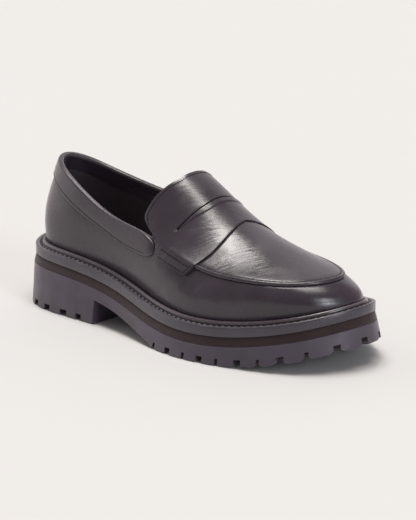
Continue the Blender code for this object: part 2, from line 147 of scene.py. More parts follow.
# Rows of the rim between which another material runs: first, last, material. The stitch channel carries
# painted shade, and the bead a leather made lighter as painted highlight.
WELT_CHANNEL_SHADE_AND_BEAD = ((9, 17, 1), (17, 23, 2))
CUTS = {
    "u": (0.9, 1.58, 1.97, 2.33, 2.61, 4.51, 4.8, 5.09, 5.36, 5.63, 5.95, 6.27, 6.61, 7.01, 7.46, 7.96),
    "width": (5.0, 5.2, 5.8, 6.6, 5.2, 2.2, 4.6, 2.2, 4.6, 2.2, 4.8, 2.2, 5.2, 2.6, 4.8, 4.8),
}
CUT_HEIGHT = 4.4
# Rounding of a cut's edge on the tread: its radius, its steps, and the height from which the cut's walls
# carry painted shade
CUT_ROUND = 1.8
CUT_ROUND_ANGLES = (0.0, 0.45, 0.9, math.pi / 2)
CUT_SHADE_HEIGHT = 1.44
CUT_REACH = 11.0
TOE_CUT = 0.1
GROOVES = {"x": (32.0, 62.0, 168.0, 196.0), "half": (16.0, 18.0, 26.0, 27.0)}
GROOVE_WIDTH = 4.5
GROOVE_HEIGHT = 2.8
COLLAR = {
    "u": (0.0, 1.16, 1.79, 2.26, 2.72, 3.12, 3.52, 3.88),
    "v": (0.85, 0.84, 0.785, 0.74, 0.71, 0.665, 0.615, 0.63),
}
COLLAR_TURN = {"outer": 3.88, "inner": 3.72}
COLLAR_END = {"outer": 4.22, "inner": 4.06}
COLLAR_TOP_ROUND = 0.30
COLLAR_TIP = 0.10
# Over the rim of the collar, in the wall's own frame: along the wall from its top, and out from it
COLLAR_RIM = {
    "along": (-2.0, -1.0, -0.35, 0.0, 0.05, -0.15, -0.7, -1.6, -3.2, -7.0, -12.0),
    "out": (1.5, 1.45, 1.2, 0.75, 0.2, -0.5, -1.3, -1.9, -2.25, -2.4, -2.3),
}
COLLAR_FACE = {
    "share": (0.0, 0.0, 0.05, 0.085, 0.12, 0.155, 0.19, 0.225, 0.30, 0.42, 0.60, 0.80, 1.0),
    "out": (0.0, 0.5, 0.62, 1.05, 1.20, 1.12, 0.98, 1.12, 1.28, 1.40, 1.50, 1.52, 1.50),
}
# Length of the face that the rounded rim takes up, and the share of v in which it is measured
COLLAR_ROLL = 2.6
COLLAR_REACH = 0.2
# How suddenly the band thins at its front end, as a power, and the last row that carries painted shade along
# the band's lower edge
COLLAR_FADE = 6
COLLAR_SHADE_ROW = 2
SADDLE = {
    "v": (2.0, 1.94, 1.75, 1.54, 1.4, 1.25, 1.16, 1.1, 1.045, 1.0, 0.9, 0.77),
    "back": (137.0, 136.8, 135.6, 130.6, 127.2, 125.1, 124.8, 128.0, 135.0, 141.6, 142.6, 145.6),
    "slot": (159.0, 158.8, 158.1, 155.8, 153.8, 151.4, 150.4, 150.2, 151.2, 152.8, 154.5, 157.0),
    "front": (179.0, 179.4, 180.8, 181.4, 181.2, 180.4, 178.9, 178.0, 177.0, 176.2, 174.0, 170.6),
}
SADDLE_SHIFT = 3.0
SADDLE_REST = 0.5
SADDLE_THICKNESS = 1.8
SADDLE_EDGE = 0.55
SADDLE_ROWS = np.concatenate([np.linspace(SADDLE["v"][-1], 1.0, 19), np.linspace(1.0, 2.0, 61)[1:]])
SLOT_WIDTH = 1.1
SLOT_END_V = 1.24
APRON_GAP = 0.6
# The apron's rolled edge: distance in from the seam, and height over the vamp
APRON_EDGE = {
    "in": (-0.35, -0.5, -0.3, 0.2, 0.9, 1.5, 1.9, 2.3, 3.0, 4.0, 5.5),
    "up": (0.1, 0.6, 1.15, 1.6, 1.8, 1.65, 1.35, 1.3, 1.45, 1.55, 1.6),
}
# Rows up to this one, under the apron's rolled edge, carry painted shade along the seam
APRON_SHADE_ROW = 1
APRON_SKIN = 0.1
# Length of the crown's section beside the strap, and the v where the rolled edge ends there
STRAP_CROWN = 38.0
ROLL_V = 1.145
THROAT = {"u": (4.1, 4.4), "v": (1.0, 2.0)}
# Soft troughs, below zero, and ridges in the leather: place, half length and width, height, lean
Crease = namedtuple("Crease", "u v long wide height lean")
CREASES = (
    Crease(5.15, 0.62, 9.0, 2.6, -0.22, 62.0),
    Crease(5.38, 0.55, 10.0, 3.0, 0.20, 62.0),
    Crease(5.62, 0.60, 8.0, 2.4, -0.18, 66.0),
    Crease(5.95, 0.70, 7.0, 2.6, -0.14, 70.0),
    Crease(4.45, 0.35, 12.0, 4.0, -0.25, 50.0),
    Crease(3.30, 0.38, 16.0, 5.0, -0.30, 12.0),
    Crease(10.55, 0.60, 9.0, 2.6, -0.20, -62.0),
    Crease(10.25, 0.58, 9.0, 2.8, 0.18, -64.0),
    Crease(9.95, 0.66, 7.0, 2.4, -0.15, -68.0),
    Crease(12.60, 0.38, 15.0, 5.0, -0.28, -10.0),
)
# Length of one u and of one v on the wall, roughly
U_PACE = 40.0
V_PACE = 45.0
# Tuck of the wall below the moccasin seam: depth, height in v, and the u where it starts and how fast
TUCK = {"depth": 0.45, "height": 0.035, "u": 4.3, "run": 0.4}
# Seam of the inner quarter: place, depth, half width, and the v over which it ends below the collar
QUARTER_SEAM = {"u": 12.02, "depth": 0.5, "width": 0.45, "fade": 0.03}
# Fine strokes in the polished leather: their turn about Z; noise scale, stretch and depth
STROKE_TURN = -41.0
Stroke = namedtuple("Stroke", "scale stretch depth")
STROKES = (Stroke(640.0, 8.0, 0.26), Stroke(230.0, 6.0, 0.16))
# Column of the saddle at the slot's back edge, and the folded strip in front of the slot
SLOT_COLUMN = 20
STRIP_WIDTH = 2.8
STRIP_TAPER = 0.45
STRIP_FALL = 0.6
STRIP_HEIGHT = 0.45
STRIP_START = 0.12
STRIP_PACE = 1.6
# Span of v over which the saddle's corners are rounded
LINE_ROUNDING = 0.035
# Ring at the slot's end: its radius, its thread's radius, and its height over the last
RING = {"radius": 0.85, "tube": 0.3, "out": 2.35}
# Sewing: pitch, length of a stitch and radius of its thread
Sewing = namedtuple("Sewing", "pitch length radius")
WELT_SEWING = Sewing(4.3, 3.1, 0.55)
COLLAR_SEWING = Sewing(2.6, 2.2, 0.34)
APRON_SEWING = Sewing(3.0, 2.3, 0.36)
TONGUE_SEWING = Sewing(3.0, 2.2, 0.42)
# How deep a stitch rests in the leather; size and flatness of a needle hole, a flat dark patch of painted
# shade at a stitch's end, as shares of the thread
STITCH_REST = 0.02
HOLE_SIZE = 1.35
HOLE_DEPTH = 0.45
# Where the rows of stitches run
WELT_STITCH = {"inset": 3.6, "height": -0.42}
COLLAR_STITCH = {"share": 0.19, "inset": 0.07, "fall": 0.4}
APRON_STITCH = {"v": 1.06, "in": 2.3}
TONGUE_STITCH = {"v": 1.1, "in": 2.0}
# Rows across the saddle's foot: height over its lower edge, distance from its back and front
Seam = namedtuple("Seam", "up back front")
SADDLE_SEAMS = (Seam(1.7, 2.0, 1.8), Seam(8.2, 6.0, 3.0))
SADDLE_SEAM_TOP = 0.98
# Stations and rows of each piece's grid
SOLE_COUNT = 28
UPPER_COUNT = 151
WALL_ROWS = 37
CROWN_ROWS = 31
APRON_COLUMNS = 91
APRON_ROWS = 27
COLLAR_COUNT = 130

# Camera: the point that it looks at, and how far it is from there
CAMERA_TARGET = (147.043, 5.154, 44.922)
CAMERA_DISTANCE = 1345.392
SENSOR = 36.0
CLIP_START = 0.05
FLOOR_SIZE = 12.0
FILL_COLOUR = (1.0, 0.96, 0.925, 1)
# Soft lights, with their place and apparent width in degrees
Light = namedtuple("Light", "name azimuth elevation width strength colour")
SOFT_LIGHTS = (
    Light("overhead", -104.0, 78.0, 25.0, 2.3, (1.0, 0.96, 0.91)),
    Light("overhead_front", 98.0, 76.0, 21.0, 1.0, (1.0, 0.96, 0.91)),
    Light("backdrop", -150.0, 30.0, 56.0, 0.40, (1.0, 0.985, 0.98)),
    Light("side", -80.0, 14.0, 60.0, 0.68, (1.0, 0.98, 0.97)),
    Light("window", 78.0, 26.0, 15.0, 0.50, (0.88, 0.92, 1.0)),
    Light("window_low", 78.0, 7.0, 13.0, 0.65, (0.88, 0.92, 1.0)),
)


def spline(knots, values, at, period=None):
    """Cubic spline through the values: natural at its ends, or closed over a period."""
    k = np.asarray(knots, float)
    v = np.asarray(values, float)
    at = np.asarray(at, float)
    if period:
        k = np.append(k, k[0] + period)
        v = np.append(v, v[0])
        at = (at - k[0]) % period + k[0]
    n = len(k)
    h = np.diff(k)
    slope = np.diff(v) / h
    a = np.zeros((n, n))
    b = np.zeros(n)
    for i in range(1, n - 1):
        a[i, i - 1:i + 2] = h[i - 1], 2 * (h[i - 1] + h[i]), h[i]
        b[i] = 6 * (slope[i] - slope[i - 1])
    if period:
        a[0, 0], a[0, 1], a[0, n - 2] = 2 * (h[-1] + h[0]), h[0], h[-1]
        b[0] = 6 * (slope[0] - slope[-1])
        a[n - 1, n - 1], a[n - 1, 0] = 1, -1
    else:
        a[0, 0] = a[n - 1, n - 1] = 1
    m = np.linalg.solve(a, b)
    i = np.clip(np.searchsorted(k, at, side="right") - 1, 0, n - 2)
    t = at - k[i]
    w = h[i]
    s = w - t
    bend = (m[i] * s ** 3 + m[i + 1] * t ** 3) / (6 * w)
    return bend + (v[i] / w - m[i] * w / 6) * s + (v[i + 1] / w - m[i + 1] * w / 6) * t


def section(name, u):
    """One column of the section tables, all round the shoe."""
    rows = list(OUTER.values()) + list(INNER.values())[-2:0:-1]
    return spline(range(ROUND), [getattr(row, name) for row in rows], u, period=ROUND)


def height(table, x):
    return spline(table["x"], table["z"], x)


def edge(u, inset=0.0):
    """Plan outline of the welt at u, moved inwards."""
    u = np.asarray(u, float)
    along_x = section("edge_x", u + EPS) - section("edge_x", u - EPS)
    along_y = section("edge_y", u + EPS) - section("edge_y", u - EPS)
    length = np.hypot(along_x, along_y)
    x = section("edge_x", u) - along_y / length * inset
    y = section("edge_y", u) + along_x / length * inset
    return np.stack([x, y], -1)


def spine(u):
    """Where the section at u reaches the ridge."""
    half = np.minimum(u % ROUND, ROUND - u % ROUND)
    x = spline(range(TIP + 1), SPINE_X, half)
    return np.stack([x, np.full_like(x, RIDGE_Y), height(RIDGE, x)], -1)


def bezier(points, t):
    t = t[..., None]
    s = 1 - t
    return s ** 3 * points[0] + 3 * t * s ** 2 * points[1] + 3 * t ** 2 * s * points[2] + t ** 3 * points[3]


def level(plan, z):
    """3-D points from plan points and heights."""
    return np.concatenate([plan, z[..., None]], -1)


def unit(a):
    return a / np.maximum(np.linalg.norm(a, axis=-1, keepdims=True), 1e-12)


def ridge_slope(x):
    return (height(RIDGE, x + EPS) - height(RIDGE, x - EPS)) / (2 * EPS)


def last(u, v):
    """Outer surface of the upper: its wall below v = 1 and its crown above."""
    u, v = np.broadcast_arrays(np.asarray(u, float), np.asarray(v, float))
    foot = edge(u, WELT_LEDGE)
    deck = height(DECK, foot[..., 0]) + GAP
    top = np.stack([section("top_x", u), section("top_y", u), section("top_z", u)], -1)
    ridge = spine(u)
    up = np.array([0.0, 0.0, 1.0])
    rise = (top[..., 2] - deck)[..., None]
    outward = level(unit(foot - ridge[..., :2]), np.zeros(u.shape))
    belly, roll, drop = (section(name, u)[..., None] for name in ("belly", "roll", "drop"))
    base = level(foot, deck)
    wall = bezier((base, base + outward * belly + up * rise * WALL_RISE,
                   top + outward * roll - up * rise * drop, top), np.clip(v, 0, 1))
    across = top[..., :2] - ridge[..., :2]
    run = np.linalg.norm(across, axis=-1, keepdims=True)
    across = level(across / run, np.zeros(u.shape))
    climb = ridge[..., 2:] - top[..., 2:]
    chord = np.hypot(climb, run)
    start = np.arctan2(climb, run) * ARCH
    slope = ridge_slope(ridge[..., 0])
    leave = top + (up * np.sin(start) - across * np.cos(start)) * chord * CROWN_PULL
    arrive = ridge + (across + up * slope[..., None] * across[..., :1]) * chord * RIDGE_PULL
    crown = bezier((top, leave, arrive, ridge), np.clip(v - 1, 0, 1))
    return np.where(v[..., None] <= 1, wall, crown)


def facing(u, v, low=0.0, high=1.0):
    """Outward normal of the upper at u, v, measured within the wall or within the crown."""
    u, v = np.broadcast_arrays(np.asarray(u, float), np.asarray(v, float))
    below = np.clip(v - STEP, low, high)
    above = np.clip(v + STEP, low, high)
    along = last(u + STEP, v) - last(u - STEP, v)
    normal = unit(np.cross(along, last(u, above) - last(u, below)))
    away = last(u, v) - np.array(HEART)
    normal = normal * np.sign((normal * away).sum(-1, keepdims=True))
    slope = ridge_slope(spine(u)[..., 0])
    crest = unit(np.stack([-slope, np.zeros_like(slope), np.ones_like(slope)], -1))
    near = np.clip((v - RIDGE_BLEND) / (2 - RIDGE_BLEND), 0, 1)[..., None] if high > 1 else 0.0
    return unit(normal + (crest - normal) * near ** 2)


def u_at_x(x, v, inner=False):
    """The u, on one side of the shoe, where the surface at v reaches x."""
    u = np.linspace(FIRST_U, TIP, DENSE)
    if inner:
        u = ROUND - u
    return np.interp(x, last(u, v)[..., 0], u)


def u_along(x, v, inner):
    """The u of each point of a line given by its x and v."""
    return np.array([float(u_at_x(a, b, inner)) for a, b in zip(x, v)])


def sole_stations(count):
    """Matching u on the outer and inner side, at equal x, with the heel breast's two stations."""
    dense = np.linspace(0, TIP, 10 * DENSE)
    breast = np.interp((BREAST_X - BREAST_LEAN, BREAST_X + BREAST_LEAN), edge(dense)[:, 0], dense)
    sides = np.linspace(1, TIP - 1, 3 * count)
    even = np.concatenate([np.linspace(0, 1, count), sides[1:], np.linspace(TIP - 1, TIP, count)[1:]])
    outer = np.sort(np.append(even[np.abs(even - breast.mean()) > BREAST_CLEAR], breast))
    x = edge(outer)[:, 0]
    inner_x = edge(ROUND - dense)[:, 0]
    rising = np.maximum.accumulate(inner_x) + dense * EPS
    inner = ROUND - np.interp(x, rising, dense)
    inner[0] = ROUND
    inner[-1] = TIP
    return outer, inner


def to_row(points):
    return (np.asarray(points) - CENTRE) * MM


def grid_mesh(points):
    """Grid through rows of points, with the column and the row of each of its vertices."""
    along, across = len(points) - 1, len(points[0]) - 1
    bm = bmesh.new()
    bm.loops.layers.uv.new("form")
    bmesh.ops.create_grid(bm, x_segments=across, y_segments=along, size=0.5, calc_uvs=True)
    place = np.array([v.co[:2] for v in bm.verts]) + 0.5
    columns = np.rint(place[:, 0] * across).astype(int)
    rows = np.rint(place[:, 1] * along).astype(int)
    for vert, point in zip(bm.verts, to_row(points[rows, columns])):
        vert.co = point
    bm.verts.index_update()
    return bm, columns, rows


def paint_rows(bm, rows, first, last_row, material=1):
    """Gives the faces between two rows of a grid another of its materials."""
    for face in bm.faces:
        held = [rows[v.index] for v in face.verts]
        if min(held) >= first and max(held) <= last_row:
            face.material_index = material


def weld(bm):
    bmesh.ops.remove_doubles(bm, verts=bm.verts, dist=TINY)
    bmesh.ops.dissolve_degenerate(bm, edges=bm.edges, dist=TINY)


def close_skin(bm):
    """Welds an open skin of the upper and turns it outwards."""
    weld(bm)
    heart = Vector(to_row(HEART))
    bmesh.ops.recalc_face_normals(bm, faces=bm.faces)
    if sum((f.calc_center_median() - heart).dot(f.normal) * f.calc_area() for f in bm.faces) < 0:
        bmesh.ops.reverse_faces(bm, faces=bm.faces)
    return bm


def to_mesh(bm, name):
    mesh = bpy.data.meshes.new(name)
    bm.to_mesh(mesh)
    bm.free()
    return mesh


def add_object(name, data):
    obj = bpy.data.objects.new(name, data)
    bpy.context.scene.collection.objects.link(obj)
    return obj


def finish_piece(bm, name, materials, replaces=()):
    """Mesh object from a bmesh, on the shoe's body, in its material slot."""
    mesh = to_mesh(bm, name)
    for material in materials:
        mesh.materials.append(get_material(material))
    mesh.shade_smooth()
    obj = add_object(name, mesh)
    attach(obj, "root")
    if replaces:
        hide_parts(*replaces)
    return obj


def thicken(obj, thickness):
    """Thickens an open skin outwards, or inwards if the thickness is below zero."""
    solid = obj.modifiers.new("thickness", "SOLIDIFY")
    solid.thickness = abs(thickness) * MM
    solid.offset = 1.0 if thickness > 0 else -1.0
    solid.use_even_offset = True
    return solid


def soften(obj, width):
    bevel = obj.modifiers.new("edges", "BEVEL")
    bevel.width = width * MM
    bevel.segments = 3
    bevel.limit_method = "ANGLE"
    bevel.angle_limit = math.radians(50)
    bevel.material = 0


def carve(obj, cutters):
    """Cuts a mesh out of the object and bakes the result into the object's own mesh."""
    cut = obj.modifiers.new("tread", "BOOLEAN")
    cut.operation = "DIFFERENCE"
    cut.solver = "EXACT"
    cut.object = cutters
    bpy.context.view_layer.update()
    baked = bpy.data.meshes.new_from_object(obj.evaluated_get(bpy.context.evaluated_depsgraph_get()))
    obj.modifiers.clear()
    old = obj.data
    obj.data = baked
    bpy.data.meshes.remove(old)
    bpy.data.objects.remove(cutters)


def plate(stations, profile, rows=6, painted=()):
    """Closed plate: across each station run the bottom, the outer side, the top and the inner side.

    profile(u) gives the points of the side from the bottom up, for every station."""
    sides = [np.stack(profile(u)) for u in stations]
    share = np.linspace(0, 1, rows + 1)[1:-1, None, None]
    top = sides[0][-1] + (sides[1][-1] - sides[0][-1]) * share
    bottom = sides[1][0] + (sides[0][0] - sides[1][0]) * share
    bm, _, held = grid_mesh(np.concatenate([sides[0], top, sides[1][::-1], bottom, sides[0][:1]]))
    far = 2 * len(sides[0]) + rows - 2
    for first, last_row, material in painted:
        paint_rows(bm, held, first, last_row, material)
        paint_rows(bm, held, far - last_row, far - first, material)
    weld(bm)
    bmesh.ops.recalc_face_normals(bm, faces=bm.faces)
    return bm


def deck_profile(insets, drops):
    def profile(u):
        return [level(edge(u, a), height(DECK, edge(u, a)[:, 0]) + b) for a, b in zip(insets, drops)]
    return profile


def outsole_profile(u):
    """Side of the outsole from the tread's edge up."""
    x = edge(u)[:, 0]
    top = height(DECK, x) - WELT_HEIGHT - BAND_HEIGHT - VISIBLE_GAP / 2
    tread = np.maximum(height(TREAD, x), 0)
    arch = np.where((x > BREAST_X) & (x < SHANK["x"][-1]), np.maximum(height(SHANK, x), 0), 0)
    bottom = np.maximum(tread, arch)
    flare = TOP_FLARE + (FLARE - TOP_FLARE) * (top - bottom) / (top - tread)
    low = [level(edge(u, inset - flare), bottom + lift) for inset, lift in TREAD_EDGE]
    high = [level(edge(u, inset - TOP_FLARE), top - drop) for inset, drop in OUTSOLE_TOP]
    return low + high


def notch_at(bm, centre, size, angle=0.0, slope=0.0):
    """Block that widens in a round below its middle, turned about Z and sheared along the tread's slope."""
    made = bmesh.ops.create_cube(bm, size=1.0)["verts"]
    geom = made + list({e for v in made for e in v.link_edges})
    geom += list({f for v in made for f in v.link_faces})
    for turn in CUT_ROUND_ANGLES:
        share = CUT_ROUND * (1 - math.sin(turn)) / size[2]
        cut = bmesh.ops.bisect_plane(bm, geom=geom, plane_co=(0, 0, share), plane_no=(0, 0, 1), dist=TINY)
        geom = cut["geom"]
    for item in geom:
        if isinstance(item, bmesh.types.BMFace):
            # Faces high in the cut get the second material: painted shade deep in the notch or groove
            item.material_index = int(item.calc_center_median().z * size[2] > CUT_SHADE_HEIGHT)
    for vert in [item for item in geom if isinstance(item, bmesh.types.BMVert)]:
        x, y, z = (a * b for a, b in zip(vert.co, size))
        low = min(max(1 - z / CUT_ROUND, 0.0), 1.0)
        x += math.copysign(CUT_ROUND * (1 - math.sqrt(1 - low * low)), x)
        east = x * math.cos(angle) - y * math.sin(angle)
        north = x * math.sin(angle) + y * math.cos(angle)
        vert.co = to_row((centre[0] + east, centre[1] + north, centre[2] + z + slope * east))


def tread_cutters():
    """One mesh that holds every notch of the sole's side and every groove of its bottom."""
    bm = bmesh.new()
    for u, width in zip(CUTS["u"], CUTS["width"]):
        for side in (u, ROUND - u) if TIP - u > TOE_CUT else (u,):
            x, y = edge(np.array(side), -FLARE)
            ahead = edge(np.array(side + EPS)) - edge(np.array(side - EPS))
            angle = math.atan2(ahead[1], ahead[0])
            slope = float(height(TREAD, x + 1) - height(TREAD, x - 1)) / 2
            centre = (x, y, max(float(height(TREAD, x)), 0.0))
            notch_at(bm, centre, (width, 2 * CUT_REACH, 2 * CUT_HEIGHT), angle, slope)
    for x, half in zip(GROOVES["x"], GROOVES["half"]):
        middle = float(edge(np.array([u_at_x(x, 0.0), u_at_x(x, 0.0, True)]))[:, 1].mean())
        notch_at(bm, (x, middle, 0.0), (GROOVE_WIDTH, 2 * half, 2 * GROOVE_HEIGHT))
    return add_object("tread_cutters", to_mesh(bm, "tread_cutters"))


def upper_stations():
    """Stations round the upper: even, with the throat's start among them, and fine at the quarter's seam."""
    throat = THROAT["u"][0]
    even = np.concatenate([np.linspace(0, throat, UPPER_COUNT), np.linspace(throat, TIP, UPPER_COUNT)[1:]])
    width = QUARTER_SEAM["width"] / U_PACE
    fine = ROUND - QUARTER_SEAM["u"] + np.linspace(-3, 3, 13) * width
    return np.sort(np.concatenate([even[(even < fine[0] - STEP) | (even > fine[-1] + STEP)], fine]))


def creased(u, v):
    """Rise of the leather over the last, from the soft troughs and ridges listed in CREASES."""
    rise = np.zeros(np.broadcast(u, v).shape)
    for crease in CREASES:
        along = (u - crease.u) * U_PACE
        up = (v - crease.v) * V_PACE
        c, s = math.cos(math.radians(crease.lean)), math.sin(math.radians(crease.lean))
        length, across = along * c + up * s, up * c - along * s
        rise += crease.height * np.exp(-(length / crease.long) ** 2 - (across / crease.wide) ** 2)
    return rise


def wall_form(u, v):
    """The wall of the upper: tucked in at the moccasin seam, creased, with the seam of the inner quarter."""
    normal = facing(u, v)
    front = np.clip((np.minimum(u % ROUND, ROUND - u % ROUND) - TUCK["u"]) / TUCK["run"], 0, 1)
    tuck = -TUCK["depth"] * np.exp(-((1 - v) / TUCK["height"]) ** 2) * front
    away = (u - QUARTER_SEAM["u"]) * U_PACE / QUARTER_SEAM["width"]
    groove = -QUARTER_SEAM["depth"] * np.exp(-away ** 2)
    groove = groove * np.clip((COLLAR["v"][-1] - v) / QUARTER_SEAM["fade"], 0, 1)
    return last(u, v) + normal * (tuck + groove + creased(u, v))[..., None]


def upper_mesh():
    """Wall all round and the crown in front of the throat."""
    half = upper_stations()
    loop = np.concatenate([half, ROUND - half[-2::-1]])
    bm = grid_mesh(wall_form(loop[None, :], np.linspace(0, 1, WALL_ROWS)[:, None]))[0]
    front = half[half >= THROAT["u"][0] - EPS]
    reach = np.interp(front, THROAT["u"], THROAT["v"])
    share = np.linspace(0, 1, CROWN_ROWS)[:, None]
    for side in (front, ROUND - front):
        crown = last(side[None, :], np.maximum(1 + (reach - 1)[None, :] * share, CROWN_V))
        crown[0] = wall_form(side, np.ones_like(side))
        mesh = to_mesh(grid_mesh(crown)[0], "crown")
        bm.from_mesh(mesh)
        bpy.data.meshes.remove(mesh)
    return close_skin(bm)


def crown_length(u):
    """Length of the crown's section at u, from the seam to the ridge."""
    points = last(np.asarray(u)[:, None], np.linspace(CROWN_V, 2, 40)[None, :])
    return np.linalg.norm(np.diff(points, axis=1), axis=-1).sum(1)


def saddle_shift(v, inner):
    """How much further forward the saddle lies on the inner side."""
    return SADDLE_SHIFT * np.minimum(1.0, (2 - v) * 2) if inner else 0.0


def apron_start(v, inner):
    """The u where the apron starts, in front of the strap."""
    front = np.interp(v, SADDLE["v"][::-1], SADDLE["front"][::-1])
    return u_along(front + saddle_shift(v, inner) + APRON_GAP, v, inner)


def apron_mesh():
    """Plug with a rolled edge along the seam, from the strap's front edge round the toe."""
    share = np.linspace(0, 1, APRON_COLUMNS)[None, :]
    rows = np.linspace(0, 1, APRON_ROWS)[1:]
    edge_in = np.array(APRON_EDGE["in"])
    edge_up = np.array(APRON_EDGE["up"])
    up = np.concatenate([edge_up, np.full(len(rows), edge_up[-1])])
    over = np.concatenate([np.minimum(edge_in, 0), np.zeros(len(rows))])
    rough = 1 + np.maximum(edge_in, 0) / STRAP_CROWN
    halves = []
    for inner in (False, True):
        start = apron_start(np.concatenate([rough, ROLL_V + (2 - ROLL_V) * rows]), inner)[:, None]
        u = start + (TIP - start) * share
        v_edge = 1 + np.maximum(edge_in[:, None], TINY) / crown_length(u[0])[None, :]
        v = np.concatenate([v_edge, v_edge[-1] + (2 - v_edge[-1]) * rows[:, None]])
        points = last(u, v) + facing(u, v, CROWN_V, 2) * up[:, None, None]
        sideways = unit(last(u, v + STEP) - last(u, v))
        halves.append(points + sideways * over[:, None, None])
    bm, _, held = grid_mesh(np.concatenate([halves[0], halves[1][:, -2::-1]], axis=1))
    # The underside of the rolled edge carries painted shade along the seam
    paint_rows(bm, held, 0, APRON_SHADE_ROW)
    return close_skin(bm)


def collar_top(u):
    """Where the flat face of the collar gives way to its rounded rim."""
    points = last(np.asarray(u, float)[..., None], np.linspace(1 - COLLAR_REACH, 1, 21))
    length = np.linalg.norm(np.diff(points, axis=-2), axis=-1).sum(-1)
    return 1 - COLLAR_REACH * COLLAR_ROLL / length


def band_edge(u, turn, end):
    """The v of the band's lower edge, how far u is along its round end, and its narrowing there."""
    low = spline(COLLAR["u"], COLLAR["v"], np.minimum(u, COLLAR["u"][-1]))
    corner = np.clip((u - turn) / (end - turn), 0, 1)
    narrow = (1 - np.sqrt(1 - corner ** 2)) * (1 - low)
    return low + narrow * (1 - COLLAR_TOP_ROUND - COLLAR_TIP), corner, narrow


def collar_rows(u, side):
    """Section of the collar band at u: up its face, over the rim and down inside."""
    low, corner, narrow = band_edge(min(u, ROUND - u), COLLAR_TURN[side], COLLAR_END[side])
    fade = math.sqrt(1 - corner ** COLLAR_FADE)
    high = collar_top(u)
    drop = narrow * COLLAR_TOP_ROUND * COLLAR_ROLL / (1 - high)
    high -= narrow * COLLAR_TOP_ROUND
    v = low + (high - low) * np.array(COLLAR_FACE["share"])
    face = last(u, v) + facing(u, v) * (np.array(COLLAR_FACE["out"]) * fade)[:, None]
    top = last(u, 1.0)
    up = unit(top - last(u, high))
    along = np.array(COLLAR_RIM["along"])[:, None] - drop
    out = np.array(COLLAR_RIM["out"])[:, None]
    out = np.where(out > 0, out * fade, out)
    return np.concatenate([face, top + up * along + facing(u, 1.0) * out])


def collar_stations(side, end, count, arc_count):
    """The u of one half of the collar, closing up towards its round front end."""
    turn = COLLAR_TURN[side]
    arc = np.sin(np.linspace(0, math.pi / 2, arc_count))
    return np.concatenate([np.linspace(0, turn, count)[:-1], turn + (end - turn) * arc])


def collar_mesh():
    """Band on the wall and over its rim, with round front ends."""
    inner, outer = (collar_stations(side, COLLAR_END[side], COLLAR_COUNT, 15) for side in ("inner", "outer"))
    rows = [collar_rows(ROUND - u, "inner") for u in inner[:0:-1]] + [collar_rows(u, "outer") for u in outer]
    bm, _, held = grid_mesh(np.stack(rows, axis=1))
    # The lowest rows, the lip under the band, carry painted shade for the seam's shadow
    paint_rows(bm, held, 0, COLLAR_SHADE_ROW)
    return close_skin(bm)


def saddle_line(v, inner, name):
    """One of the saddle's lines over its height, its corners rounded."""
    near = np.asarray(v)[..., None] + LINE_ROUNDING * np.linspace(-1, 1, 9)
    near = np.where(near > 2, 4 - near, near)
    return np.interp(near, SADDLE["v"][::-1], SADDLE[name][::-1]).mean(-1) + saddle_shift(v, inner)


def saddle_grid():
    """Points of the saddle, in rows across from back to front, and the v of each row."""
    rows = []
    v_all = np.concatenate([SADDLE_ROWS, SADDLE_ROWS[-2::-1]])
    forward = np.linspace(0, 1, 31) ** STRIP_PACE
    for k, v in enumerate(v_all):
        inner = k >= len(SADDLE_ROWS)
        back, slot, front = (float(saddle_line(v, inner, name)) for name in ("back", "slot", "front"))
        start = slot + SLOT_WIDTH / 2
        x = np.concatenate([np.linspace(back, slot - SLOT_WIDTH / 2, SLOT_COLUMN + 1),
                            start + (front - start) * forward])
        u = u_at_x(x, v, inner)
        low, high = (0.0, 1.0) if v <= 1 else (CROWN_V, 2.0)
        strip = STRIP_WIDTH * np.clip((v - SLOT_END_V) / STRIP_TAPER, 0, 1)
        raised = np.clip((strip - (x - start)) / STRIP_FALL + 0.5, 0, 1) * (x > start - STEP)
        raised *= STRIP_HEIGHT * np.clip((v - SLOT_END_V) / STRIP_START, 0, 1)
        rows.append(last(u, v) + facing(u, v, low, high) * (SADDLE_REST + raised)[:, None])
    return np.stack(rows), v_all


def saddle_mesh():
    """Strap and tongue over the instep, with the slot left open."""
    points, v_all = saddle_grid()
    bm, columns, rows = grid_mesh(points)
    gone = []
    for face in bm.faces:
        held = {columns[v.index] for v in face.verts}
        foot = min(v_all[rows[v.index]] for v in face.verts)
        if held == {SLOT_COLUMN, SLOT_COLUMN + 1} and foot > SLOT_END_V:
            gone.append(face)
    bmesh.ops.delete(bm, geom=gone, context="FACES")
    return close_skin(bm)


def sew(bm, hole_shade, path, normal, sewing):
    """Adds a row of stitches, sunk at both ends, along a path of points with its normals, with a needle hole
    of painted shade at each end.
    """
    run = np.concatenate([[0], np.cumsum(np.linalg.norm(np.diff(path, axis=0), axis=1))])
    count = max(1, int(run[-1] / sewing.pitch))

    def at(place, table):
        return np.array([np.interp(place, run, table[:, c]) for c in range(3)])

    for k in range(count + 1):
        place, n = (at(k / count * run[-1], table) for table in (path, normal))
        # Flat dark patch of painted shade, the needle hole, at each end of a stitch
        for vert in bmesh.ops.create_icosphere(hole_shade, subdivisions=1, radius=1.0)["verts"]:
            ball = np.array(vert.co) * sewing.radius * HOLE_SIZE
            vert.co = to_row(place + ball - n * (ball @ n) * (1 - HOLE_DEPTH))
    for k in range(count):
        middle = (k + 0.5) / count * run[-1]
        ends = [at(middle + s * sewing.length / 2, path) for s in (-1, 1)]
        n = unit(at(middle, normal))
        along = unit(ends[1] - ends[0])
        side = np.cross(n, along)
        place = (ends[0] + ends[1]) / 2
        for vert in bmesh.ops.create_icosphere(bm, subdivisions=2, radius=1.0)["verts"]:
            x, y, z = vert.co
            up = (z - x * x) * sewing.radius
            vert.co = to_row(place + along * x * sewing.length / 2 + side * y * sewing.radius + n * up)


